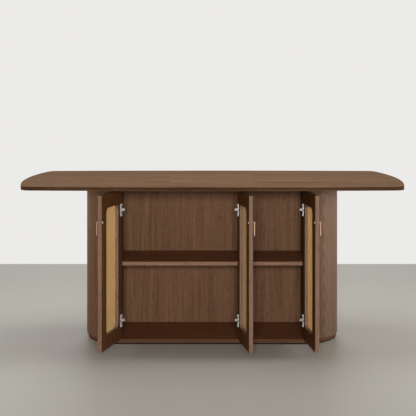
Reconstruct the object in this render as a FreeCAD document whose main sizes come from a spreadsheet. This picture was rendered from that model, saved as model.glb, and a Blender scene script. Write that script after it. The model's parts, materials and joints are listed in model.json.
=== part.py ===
import FreeCAD, Part
import os
import Sketcher

# Kitchen table with a storage cabinet: a soft-cornered top of three boards on a pill-shaped base
# with two compartments, one shelf level and three inset cane doors, which stand open.
# Millimetres. +X right, +Y to the back, +Z up. The origin is on the floor, under the middle.

DIMENSIONS = [
    # Table top
    ("table_height", 762),
    ("top_length", 1800),
    ("top_width", 914),
    ("top_thickness", 18),
    ("side_bow_radius", 14000),
    ("end_bow_radius", 1900),
    ("top_corner_radius", 50),
    ("top_edge_radius", 2),
    ("top_under_bevel", 2),
    ("leaf_width", 400),
    ("seam_gap", 0.5),
    ("seam_bevel", 1),
    ("dowel_radius", 4),
    ("dowel_length", 60),
    ("dowel_pitch", 210),
    # Cabinet base
    ("base_length", 1213),
    ("base_depth", 390),
    ("board_inset", 6),
    ("board_thickness", 18),
    ("board_edge_radius", 2),
    ("plinth_thickness", 5.5),
    ("plinth_inset", 9),
    ("pad_thickness", 1),
    ("pad_radius", 14),
    ("pad_inset", 60),
    ("opening_width", 890),
    ("panel_thickness", 18),
    ("partition_left", 141),
    ("partition_thickness", 16),
    ("jamb_setback", 2),
    ("back_thickness", 18),
    ("back_inset", 7),
    ("curve_thickness", 12),
    ("former_thickness", 15),
    ("former_spacing", 240),
    ("fit_gap", 0.3),
    # Shelves and their pins
    ("shelf_height", 383.5),
    ("shelf_thickness", 18),
    ("shelf_setback", 22),
    ("shelf_gap", 1),
    ("shelf_pin_radius", 2.5),
    ("shelf_pin_sunk", 7),
    ("shelf_pin_proud", 9),
    ("shelf_pin_inset", 50),
    # Wood screws
    ("screw_radius", 2.5),
    ("screw_head_radius", 5),
    ("screw_head_height", 3),
    ("top_screw_bite", 11),
    ("bottom_screw_bite", 36),
    ("screw_row", 110),
    # Doors
    ("door_gap", 3),
    ("door_thickness", 18),
    ("door_setback", 6),
    ("door_edge_radius", 5),
    ("eased_edge", 1),
    ("frame_width", 62),
    ("window_radius", 28),
    ("rebate_width", 8),
    ("rebate_depth", 3),
    ("cane_thickness", 1.2),
    ("rebate_play", 0.2),
    ("left_door_angle", 104),
    ("middle_door_angle", 98.8),
    ("right_door_angle", 96.7),
    # Concealed hinges: the pin lies in the cup, and a cranked arm reaches it from the plate
    ("pivot_inset", 10),
    ("pivot_depth", 9),
    ("hinge_top_inset", 93),
    ("hinge_bottom_inset", 85),
    ("cup_radius", 17.5),
    ("cup_edge", 3.5),
    ("cup_depth", 13),
    ("cup_play", 0.1),
    ("cup_floor", 0.9),
    ("pocket_height", 11.2),
    ("pocket_near", 4.5),
    ("pocket_far", 24),
    ("flange_height", 60),
    ("flange_width", 24),
    ("flange_thickness", 2.5),
    ("flange_radius", 6),
    ("cup_screw_spacing", 48),
    ("small_screw_radius", 1.75),
    ("small_head_radius", 3.8),
    ("small_head_height", 1.7),
    ("small_screw_length", 13),
    ("pin_radius", 1.5),
    ("pin_length", 23),
    ("pin_play", 0.05),
    ("arm_hub_radius", 2.8),
    ("neck_thickness", 3),
    ("neck_reach", 22),
    ("neck_width", 5),
    ("neck_height", 10),
    ("arm_start", 15),
    ("arm_end", 60),
    ("arm_thickness", 9),
    ("arm_height", 13),
    ("plate_block", 8),
    ("plate_start", 26),
    ("wing_thickness", 3),
    ("wing_width", 18),
    ("wing_height", 48),
    ("plate_screw_spacing", 34),
    ("plate_screw_radius", 2),
    ("plate_head_radius", 4),
    ("plate_head_height", 2.2),
    ("plate_screw_bite", 12),
    # Drop pulls
    ("pull_top_inset", 120),
    ("pull_inset", 11),
    ("pull_reach", 8),
    ("rosette_radius", 8.5),
    ("rosette_thickness", 1.2),
    ("fork_radius", 3.6),
    ("fork_width", 8),
    ("fork_slot", 3.4),
    ("slot_floor", 0.5),
    ("tongue_width", 3),
    ("tongue_radius", 2.8),
    ("pull_pin_radius", 1.2),
    ("drop_start", 5),
    ("drop_length", 58),
    ("drop_thickness", 4.5),
    ("drop_top_width", 6),
    ("drop_end_width", 9),
    ("drop_edge_radius", 1.2),
    ("pull_screw_radius", 2),
    ("pull_screw_bite", 3.6),
    ("pull_head_radius", 4.5),
    ("pull_head_height", 2.4),
]

doc = FreeCAD.newDocument("kitchen_table")
sheet = doc.addObject("Spreadsheet::Sheet", "dim")
for row, (alias, value) in enumerate(DIMENSIONS, start=1):
    sheet.set(f"A{row}", alias)
    sheet.set(f"B{row}", str(value))
    sheet.setAlias(f"B{row}", alias)
doc.recompute()

# Planes that several pieces share, as expressions of the sheet's cells
FRONT_Y = "(-dim.base_depth / 2)"
DOOR_Y = f"({FRONT_Y} + dim.door_setback)"
JAMB_Y = f"({DOOR_Y} + dim.jamb_setback)"
BACK_Y = "(dim.base_depth / 2 - dim.back_inset)"
BACK_FACE_Y = f"({BACK_Y} - dim.back_thickness)"
SHELF_Y = f"({DOOR_Y} + dim.shelf_setback)"
WALL_X = "(dim.opening_width / 2)"
WALL_OUT_X = f"({WALL_X} + dim.panel_thickness)"
PARTITION_RIGHT = "(dim.partition_left + dim.partition_thickness)"
BOARD_Z = "(dim.pad_thickness + dim.plinth_thickness)"
FLOOR_Z = f"({BOARD_Z} + dim.board_thickness)"
SLAB_Z = "(dim.table_height - dim.top_thickness)"
CEILING_Z = f"({SLAB_Z} - dim.board_thickness)"
SHELF_UNDER_Z = "(dim.shelf_height - dim.shelf_thickness)"
DOOR_HEIGHT = f"({CEILING_Z} - {FLOOR_Z} - 2 * dim.door_gap)"
DOOR_MID_Z = f"(({CEILING_Z} + {FLOOR_Z}) / 2)"
HINGE_HIGH = f"({DOOR_HEIGHT} / 2 - dim.hinge_top_inset)"
HINGE_LOW = f"(dim.hinge_bottom_inset - {DOOR_HEIGHT} / 2)"
PULL_Z = f"({DOOR_HEIGHT} / 2 - dim.pull_top_inset)"
PAIR_WIDTH = f"((dim.partition_left + {WALL_X} - 3 * dim.door_gap) / 2)"
SINGLE_WIDTH = f"({WALL_X} - {PARTITION_RIGHT} - 2 * dim.door_gap)"
END_X = "(dim.base_length / 2 - dim.base_depth / 2)"

NO_TURN = "rotation(vector(0; 0; 1); 0)"
HALF_TURN = "rotation(vector(0; 1; 0); 180)"
ALONG = {
    "X": "rotation(vector(0; 1; 0); 90)",
    "Y": "rotation(vector(1; 0; 0); -90)",
    "Z": NO_TURN,
}

subparts = []


def size(expression):
    """The expression's value now, as a plain number."""
    value = sheet.evalExpression(expression)
    return float(getattr(value, "Value", value))


def spot(x, y, z, turn=NO_TURN):
    return f"placement(vector({x}; {y}; {z}); {turn})"


def box(name, x, y, z):
    """A box between pairs of expressions on each axis."""
    solid = doc.addObject("Part::Box", name)
    for side, (low, high) in (("Length", x), ("Width", y), ("Height", z)):
        solid.setExpression(side, f"({high}) - ({low})")
    solid.setExpression("Placement", spot(x[0], y[0], z[0]))
    return solid


def laid(solid, axis, start, end, across):
    """Lays a cylinder or cone from start to end along one axis."""
    solid.setExpression("Height", f"({end}) - ({start})")
    place = list(across)
    place.insert("XYZ".index(axis), start)
    solid.setExpression("Placement", spot(*place, ALONG[axis]))
    return solid


def rod(name, axis, radius, start, end, across):
    """A cylinder along one axis; across gives its place on the other two, in X, Y, Z order."""
    solid = doc.addObject("Part::Cylinder", name)
    solid.setExpression("Radius", radius)
    return laid(solid, axis, start, end, across)


def taper(name, axis, radii, start, end, across):
    """A cone along one axis, with its radius at the start and at the end."""
    solid = doc.addObject("Part::Cone", name)
    solid.setExpression("Radius1", radii[0])
    solid.setExpression("Radius2", radii[1])
    return laid(solid, axis, start, end, across)


def cut(name, base, tool):
    solid = doc.addObject("Part::Cut", name)
    solid.Base = base
    solid.Tool = tool
    return solid


def fuse(name, *pieces):
    solid = doc.addObject("Part::MultiFuse", name)
    solid.Shapes = list(pieces)
    solid.Refine = True
    return solid


def common(name, *pieces):
    solid = doc.addObject("Part::MultiCommon", name)
    solid.Shapes = list(pieces)
    return solid


def group(name, pieces):
    solids = doc.addObject("Part::Compound", name)
    solids.Links = list(pieces)
    return solids


def copy(name, source, place):
    link = doc.addObject("App::Link", name)
    link.LinkedObject = source
    link.setExpression("Placement", place)
    return link


def rounded(name, base, chosen, radius, kind="Part::Fillet"):
    """A fillet on the edges that the test chooses."""
    doc.recompute()
    solid = doc.addObject(kind, name)
    solid.Base = base
    width = size(radius)
    solid.Edges = [(i, width, width) for i, edge in enumerate(base.Shape.Edges, start=1) if chosen(edge)]
    return solid


def bevelled(name, base, chosen, width):
    """A chamfer on the edges that the test chooses."""
    return rounded(name, base, chosen, width, kind="Part::Chamfer")


def runs_along(axis):
    """A test for straight edges along one axis."""
    def test(edge):
        if not isinstance(edge.Curve, Part.Line):
            return False
        return abs(getattr(edge.Curve.Direction, axis)) > 0.999
    return test


def lies_flat(edge):
    return edge.BoundBox.ZLength < 1e-4


def rounded_slab(name, x, y, z, radius):
    """A plate that stands in XZ, with its four corners rounded."""
    return rounded(name, box(f"{name}_blank", x, y, z), runs_along("y"), radius)


def pill(name, length, depth, z):
    """A board with semicircular ends."""
    half = f"(({length}) / 2 - ({depth}) / 2)"
    middle = box(f"{name}_middle", (f"-{half}", half), (f"-({depth}) / 2", f"({depth}) / 2"), z)
    ends = [rod(f"{name}_{side}", "Z", f"({depth}) / 2", *z, (f"{sign}{half}", "0"))
            for side, sign in (("left", "-"), ("right", "+"))]
    return fuse(name, middle, *ends)


def screw(name, axis, tip, seat, head, across, radius, head_radius):
    """A pan-head screw along one axis: tip, seat under the head and top of the head."""
    low, high = (tip, seat) if size(tip) < size(seat) else (seat, tip)
    shank = rod(f"{name}_shank", axis, radius, low, high, across)
    low, high = (seat, head) if size(seat) < size(head) else (head, seat)
    return fuse(name, shank, rod(f"{name}_head", axis, head_radius, low, high, across))


def outline_pad(body, name, plane, points, depth):
    """A closed straight-sided sketch on one of the body's planes, padded both ways by half its depth."""
    sketch = body.newObject("Sketcher::SketchObject", f"{name}_sketch")
    origin_plane = [item for item in body.Origin.OriginFeatures if item.Role == plane][0]
    sketch.AttachmentSupport = [(origin_plane, "")]
    sketch.MapMode = "FlatFace"
    corners = [FreeCAD.Vector(size(across), size(up), 0) for across, up in points]
    for i, corner in enumerate(corners):
        sketch.addGeometry(Part.LineSegment(corner, corners[(i + 1) % len(corners)]))
    for i, (across, up) in enumerate(points):
        sketch.addConstraint(Sketcher.Constraint("Coincident", i, 1, (i - 1) % len(points), 2))
        for kind, place in (("DistanceX", across), ("DistanceY", up)):
            number = sketch.addConstraint(Sketcher.Constraint(kind, -1, 1, i, 1, size(place)))
            sketch.setExpression(f"Constraints[{number}]", place)
    pad = body.newObject("PartDesign::Pad", f"{name}_pad")
    pad.Profile = sketch
    pad.setExpression("Length", depth)
    pad.SideType = "Symmetric"
    return pad


def subpart(solid, label):
    solid.Label = label
    subparts.append(solid)
    return solid


def make_table_top():
    """Three boards of one bowed outline, with bevelled seams, dowels across them and screws from below."""
    z = (SLAB_Z, "dim.table_height")
    side = "(dim.side_bow_radius - dim.top_width / 2)"
    end = "(dim.end_bow_radius - dim.top_length / 2)"
    bows = [rod(f"top_bow_{i}", "Z", radius, *z, place) for i, (radius, place) in enumerate((
        ("dim.side_bow_radius", ("0", side)),
        ("dim.side_bow_radius", ("0", f"-{side}")),
        ("dim.end_bow_radius", (end, "0")),
        ("dim.end_bow_radius", (f"-{end}", "0"))))]
    outline = rounded("top_outline", common("top_bows", *bows), runs_along("z"), "dim.top_corner_radius")
    upper = rounded("top_upper", outline, lambda edge: lies_flat(edge)
                    and edge.BoundBox.ZMin > size(SLAB_Z) + 1e-4, "dim.top_edge_radius")
    slab = bevelled("top_slab", upper, lambda edge: lies_flat(edge)
                    and edge.BoundBox.ZMax < size(SLAB_Z) + 1e-4, "dim.top_under_bevel")

    seam = "(dim.leaf_width / 2)"
    near = f"({seam} - dim.seam_gap / 2)"
    far = f"({seam} + dim.seam_gap / 2)"
    end_x = "(dim.top_length / 2 + 1)"
    y = ("-dim.top_width / 2 - 1", "dim.top_width / 2 + 1")
    bevels = []
    for name, sign in (("left", "-"), ("right", "+")):
        bevel = box(f"seam_bevel_{name}", ("-dim.seam_bevel / 2", "dim.seam_bevel / 2"), y,
                    ("-dim.seam_bevel / 2", "dim.seam_bevel / 2"))
        tilted = copy(f"seam_vee_{name}", bevel, spot(
            f"{sign}{seam}", y[0], "dim.table_height",
            "rotation(vector(0; 1; 0); 45)") + " * " + spot(
            "-dim.seam_bevel / 2", "0", "-dim.seam_bevel / 2"))
        bevels.append(tilted)
    dowels = [rod(f"dowel_{name}_{i}", "X", "dim.dowel_radius", f"{sign}{seam} - dim.dowel_length / 2",
                  f"{sign}{seam} + dim.dowel_length / 2",
                  (f"{step} * dim.dowel_pitch", "dim.table_height - dim.top_thickness / 2"))
              for name, sign in (("left", "-"), ("right", "+"))
              for i, step in enumerate((-1.5, -0.5, 0.5, 1.5))]
    screws = [screw(f"top_screw_{i}", "Z", f"{SLAB_Z} + dim.top_screw_bite",
                    f"{CEILING_Z} + dim.screw_head_height", CEILING_Z, (x, f"{sign}dim.screw_row"),
                    "dim.screw_radius", "dim.screw_head_radius")
              for i, (x, sign) in enumerate((x, sign) for x in (
                  f"-{END_X}", f"-({seam} + {END_X}) / 2", f"-{seam} / 2", f"{seam} / 2",
                  f"({seam} + {END_X}) / 2", END_X) for sign in ("-", "+"))]
    dowel_set = subpart(group("top_dowels", dowels), "top_dowels")
    screw_set = subpart(group("top_screws", screws), "top_screws")
    fixings = group("top_fixings", [dowel_set, screw_set, *bevels])
    for label, x in (("table_top_left", (f"-{end_x}", f"-{far}")),
                     ("table_top_centre", (f"-{near}", near)),
                     ("table_top_right", (far, end_x))):
        stretch = box(f"{label}_stretch", x, y, (f"{SLAB_Z} - 1", "dim.table_height + 1"))
        subpart(cut(label, common(f"{label}_board", slab, stretch), fixings), label)
    return screw_set


def make_boards(top_screws):
    """Pill-shaped boards just inside the bent ends, the plinth, its pads and the screws into the panels."""
    under = f"{BOARD_Z} + dim.screw_head_height"
    screws = [screw(f"bottom_screw_{i}", "Z", f"{FLOOR_Z} + dim.bottom_screw_bite", under, BOARD_Z,
                    (x, f"{sign}dim.screw_row"), "dim.screw_radius", "dim.screw_head_radius")
              for i, (x, sign) in enumerate((x, sign) for x in (
                  f"-({WALL_X} + dim.panel_thickness / 2)",
                  "dim.partition_left + dim.partition_thickness / 2",
                  f"{WALL_X} + dim.panel_thickness / 2") for sign in ("-", "+"))]
    screw_set = subpart(group("bottom_screws", screws), "bottom_screws")
    for label, low, holes in (("carcass_top", CEILING_Z, top_screws), ("carcass_bottom", BOARD_Z, screw_set)):
        z = (low, f"{low} + dim.board_thickness")
        board = pill(f"{label}_blank", "dim.base_length - 2 * dim.board_inset",
                     "dim.base_depth - 2 * dim.board_inset", z)
        edged = rounded(f"{label}_edged", board, lies_flat, "dim.board_edge_radius")
        subpart(cut(label, edged, holes), label)
    plinth = pill("plinth", "dim.base_length - 2 * dim.plinth_inset", "dim.base_depth - 2 * dim.plinth_inset",
                  ("dim.pad_thickness", BOARD_Z))
    subpart(plinth, "plinth")
    pad_y = "(dim.base_depth / 2 - dim.pad_inset)"
    pads = [rod(f"pad_{i}", "Z", "dim.pad_radius", "0", "dim.pad_thickness", (x, f"{sign}{pad_y}"))
            for i, (x, sign) in enumerate((x, sign) for x in (f"-{END_X}", "0", END_X)
                                          for sign in ("-", "+"))]
    subpart(group("floor_pads", pads), "floor_pads")
    return screw_set


def make_shelf_pins():
    """Four pins under each shelf, half sunk in the panels on both sides."""
    pin_z = f"({SHELF_UNDER_Z} - dim.shelf_pin_radius)"
    pins = []
    for bay, left, right in (("left", f"-{WALL_X}", "dim.partition_left"),
                             ("right", PARTITION_RIGHT, WALL_X)):
        for i, y in enumerate((f"{SHELF_Y} + dim.shelf_pin_inset", f"{BACK_FACE_Y} - dim.shelf_pin_inset")):
            pins.append(rod(f"pin_{bay}_a{i}", "X", "dim.shelf_pin_radius", f"{left} - dim.shelf_pin_sunk",
                            f"{left} + dim.shelf_pin_proud", (y, pin_z)))
            pins.append(rod(f"pin_{bay}_b{i}", "X", "dim.shelf_pin_radius", f"{right} - dim.shelf_pin_proud",
                            f"{right} + dim.shelf_pin_sunk", (y, pin_z)))
    return subpart(group("shelf_pins", pins), "shelf_pins")


def make_panels(fixings):
    """Side panels, partition and back between the boards, the bent ends, their formers and the shelves."""
    z = (FLOOR_Z, CEILING_Z)
    upright = {
        "side_panel_left": ((f"-{WALL_OUT_X}", f"-{WALL_X}"), (JAMB_Y, BACK_Y)),
        "side_panel_right": ((WALL_X, WALL_OUT_X), (JAMB_Y, BACK_Y)),
        "partition": (("dim.partition_left", PARTITION_RIGHT), (JAMB_Y, BACK_FACE_Y)),
    }
    for label, (x, y) in upright.items():
        subpart(cut(label, box(f"{label}_blank", x, y, z), fixings), label)
    subpart(box("back_panel", (f"-{WALL_X}", WALL_X), (BACK_FACE_Y, BACK_Y), z), "back_panel")

    outer = "(dim.base_depth / 2)"
    inner = f"({outer} - dim.curve_thickness)"
    rim = ("-dim.base_depth", "dim.base_depth")
    formers = []
    for side, sign in (("left", "-"), ("right", "+")):
        centre = (f"{sign}{END_X}", "0")
        past = "(dim.base_length / 2 + 1)"
        beyond = (WALL_OUT_X, past) if sign == "+" else (f"-{past}", f"-{WALL_OUT_X}")
        ring = cut(f"ring_{side}", rod(f"ring_out_{side}", "Z", outer, *z, centre),
                   rod(f"ring_in_{side}", "Z", inner, *z, centre))
        label = f"curved_end_{side}"
        subpart(common(label, ring, box(f"ring_cut_{side}", beyond, rim, z)), label)
        for i, step in enumerate((-0.5, 0.5)):
            level = f"({DOOR_MID_Z} + {step} * dim.former_spacing)"
            rib_z = (f"{level} - dim.former_thickness / 2", f"{level} + dim.former_thickness / 2")
            disc = rod(f"former_disc_{side}_{i}", "Z", f"{inner} - dim.fit_gap", *rib_z, centre)
            half = box(f"former_cut_{side}_{i}", beyond, rim, rib_z)
            formers.append(common(f"former_{side}_{i}", disc, half))
    subpart(group("end_formers", formers), "end_formers")

    shelf_z = (SHELF_UNDER_Z, "dim.shelf_height")
    shelf_y = (SHELF_Y, f"{BACK_FACE_Y} - dim.shelf_gap")
    for label, left, right in (("shelf_left", f"-{WALL_X}", "dim.partition_left"),
                               ("shelf_right", PARTITION_RIGHT, WALL_X)):
        x = (f"{left} + dim.shelf_gap", f"{right} - dim.shelf_gap")
        board = box(f"{label}_board", x, shelf_y, shelf_z)
        front = size(SHELF_Y)
        subpart(rounded(label, board, lambda edge: runs_along("x")(edge)
                        and abs(edge.BoundBox.YMax - front) < 1e-4, "dim.eased_edge"), label)


# Hinge and door pieces are drawn about the hinge pin with the door shut: +X to the wall that carries
# the hinge, +Y into the cabinet. The left door's are given a half turn about Y, then swung the other way.
DOOR_BACK = "(dim.door_thickness - dim.pivot_depth)"
CUP_X = "(dim.pivot_inset - dim.cup_edge - dim.cup_radius)"
FLANGE_Y = f"({DOOR_BACK} + dim.flange_thickness)"
PLATE_X = "(dim.pivot_inset + dim.door_gap)"
PLATE_MID_Y = "((dim.plate_start + dim.arm_end) / 2)"


def make_cup():
    """The cup, sunk in the door's back, with its flange and the pocket that the arm swings in."""
    floor = f"({DOOR_BACK} - dim.cup_depth)"
    barrel = rod("cup_barrel", "Y", "dim.cup_radius - dim.cup_play", f"{floor} + dim.cup_play", DOOR_BACK,
                 (CUP_X, "0"))
    flange_x = (f"{CUP_X} - dim.flange_width / 2", f"{CUP_X} + dim.flange_width / 2")
    flange = rounded_slab("cup_flange", flange_x,
                          (DOOR_BACK, FLANGE_Y), ("-dim.flange_height / 2", "dim.flange_height / 2"),
                          "dim.flange_radius")
    pocket = box("cup_pocket", ("-dim.pocket_far", "dim.pocket_near"),
                 (f"{floor} + dim.cup_play + dim.cup_floor", f"{FLANGE_Y} + 1"),
                 ("-dim.pocket_height / 2", "dim.pocket_height / 2"))
    bore = rod("cup_pin_bore", "Z", "dim.pin_radius", "-dim.pin_length / 2", "dim.pin_length / 2", ("0", "0"))
    holes = [rod(f"cup_hole_{i}", "Y", "dim.small_screw_radius", DOOR_BACK, FLANGE_Y,
                 (CUP_X, f"{sign}dim.cup_screw_spacing / 2")) for i, sign in enumerate(("-", "+"))]
    hollow = cut("cup_pocketed", fuse("cup_blank", barrel, flange), pocket)
    return cut("hinge_cup", hollow, group("cup_bores", [bore, *holes]))


def make_arm():
    """The cranked arm: from the pin along the pocket, out of its mouth, round the door's edge and back."""
    body = doc.addObject("PartDesign::Body", "hinge_arm")
    half = "dim.neck_thickness / 2"
    inside = "(dim.neck_reach - dim.neck_width)"
    shoulder = "(dim.arm_start + dim.neck_width)"
    block_x = f"({PLATE_X} - dim.plate_block)"
    outline_pad(body, "neck", "XY_Plane", [
        ("0", f"-({half})"), ("-dim.neck_reach", f"-({half})"), ("-dim.neck_reach", shoulder),
        (block_x, shoulder), (block_x, "dim.arm_start"), (f"-{inside}", "dim.arm_start"),
        (f"-{inside}", half), ("0", half)], "dim.neck_height")
    outline_pad(body, "bar", "XY_Plane", [
        (f"{block_x} - dim.arm_thickness", "dim.arm_start"), (block_x, "dim.arm_start"),
        (block_x, "dim.arm_end"), (f"{block_x} - dim.arm_thickness", "dim.arm_end")], "dim.arm_height")
    hub = rod("arm_hub", "Z", "dim.arm_hub_radius", "-dim.neck_height / 2", "dim.neck_height / 2", ("0", "0"))
    bore = rod("arm_bore", "Z", "dim.pin_radius + dim.pin_play", "-dim.neck_height", "dim.neck_height",
               ("0", "0"))
    return cut("hinge_arm_bored", fuse("hinge_arm_hub", body, hub), bore)


def make_plate():
    """The cross-shaped mounting plate on the wall, under the arm."""
    block = box("plate_block", (f"{PLATE_X} - dim.plate_block", PLATE_X), ("dim.plate_start", "dim.arm_end"),
                ("-dim.arm_height / 2", "dim.arm_height / 2"))
    wing = box("plate_wing", (f"{PLATE_X} - dim.wing_thickness", PLATE_X),
               (f"{PLATE_MID_Y} - dim.wing_width / 2", f"{PLATE_MID_Y} + dim.wing_width / 2"),
               ("-dim.wing_height / 2", "dim.wing_height / 2"))
    holes = [rod(f"plate_hole_{i}", "X", "dim.plate_screw_radius", f"{PLATE_X} - dim.wing_thickness", PLATE_X,
                 (PLATE_MID_Y, f"{sign}dim.plate_screw_spacing / 2")) for i, sign in enumerate(("-", "+"))]
    return cut("hinge_plate", fuse("plate_blank", block, wing), group("plate_holes", holes))


def make_hinge_screws():
    """The pair of screws through a cup's flange, and the pair through a plate's wings."""
    cup = [screw(f"cup_screw_{i}", "Y", f"{FLANGE_Y} - dim.small_screw_length", FLANGE_Y,
                 f"{FLANGE_Y} + dim.small_head_height", (CUP_X, f"{sign}dim.cup_screw_spacing / 2"),
                 "dim.small_screw_radius", "dim.small_head_radius") for i, sign in enumerate(("-", "+"))]
    seat = f"({PLATE_X} - dim.wing_thickness)"
    plate = [screw(f"plate_screw_{i}", "X", f"{PLATE_X} + dim.plate_screw_bite", seat,
                   f"{seat} - dim.plate_head_height", (PLATE_MID_Y, f"{sign}dim.plate_screw_spacing / 2"),
                   "dim.plate_screw_radius", "dim.plate_head_radius") for i, sign in enumerate(("-", "+"))]
    return group("cup_screw_pair", cup), group("plate_screw_pair", plate)


def make_post():
    """A drop pull's post on the door's face: rosette, cone and fork. -Y is away from the door."""
    rosette = rod("post_rosette", "Y", "dim.rosette_radius", "-dim.rosette_thickness", "0", ("0", "0"))
    cone = taper("post_cone", "Y", ("dim.fork_radius", "dim.rosette_radius"), "-dim.pull_reach",
                 "-dim.rosette_thickness", ("0", "0"))
    fork = rod("post_fork", "X", "dim.fork_radius", "-dim.fork_width / 2", "dim.fork_width / 2",
               ("-dim.pull_reach", "0"))
    slot = box("post_slot", ("-dim.fork_slot / 2", "dim.fork_slot / 2"),
               ("-2 * dim.pull_reach", "dim.fork_radius - dim.slot_floor - dim.pull_reach"),
               ("-2 * dim.fork_radius", "2 * dim.fork_radius"))
    bore = rod("post_bore", "X", "dim.pull_pin_radius", "-dim.fork_width / 2", "dim.fork_width / 2",
               ("-dim.pull_reach", "0"))
    thread = rod("post_thread", "Y", "dim.pull_screw_radius", "-dim.pull_screw_bite", "0", ("0", "0"))
    return cut("pull_post", fuse("post_blank", rosette, cone, fork), group("post_cuts", [slot, bore, thread]))


def make_drop():
    """A drop pull's hanging bar, which widens downwards, with the tongue that turns on the fork's pin."""
    body = doc.addObject("PartDesign::Body", "drop_bar")
    top = "-dim.drop_start"
    outline_pad(body, "drop", "XZ_Plane", [
        ("-dim.drop_top_width / 2", top), ("dim.drop_top_width / 2", top),
        ("dim.drop_end_width / 2", "-dim.drop_length"), ("-dim.drop_end_width / 2", "-dim.drop_length")],
        "dim.drop_thickness")
    soft = rounded("drop_soft", body, lambda edge: True, "dim.drop_edge_radius")
    bar = copy("drop_hung", soft, spot("0", "-dim.pull_reach", "0"))
    x = ("-dim.tongue_width / 2", "dim.tongue_width / 2")
    eye = rod("drop_eye", "X", "dim.tongue_radius", *x, ("-dim.pull_reach", "0"))
    half = "dim.drop_thickness / 2"
    neck = box("drop_neck", x, (f"-dim.pull_reach - {half}", f"-dim.pull_reach + {half}"),
               ("-dim.drop_start - 1", "-dim.tongue_radius / 2"))
    bore = rod("drop_bore", "X", "dim.pull_pin_radius + dim.pin_play", "-dim.tongue_width",
               "dim.tongue_width", ("-dim.pull_reach", "0"))
    return cut("pull_drop", fuse("drop_blank", bar, eye, neck), bore)


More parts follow.
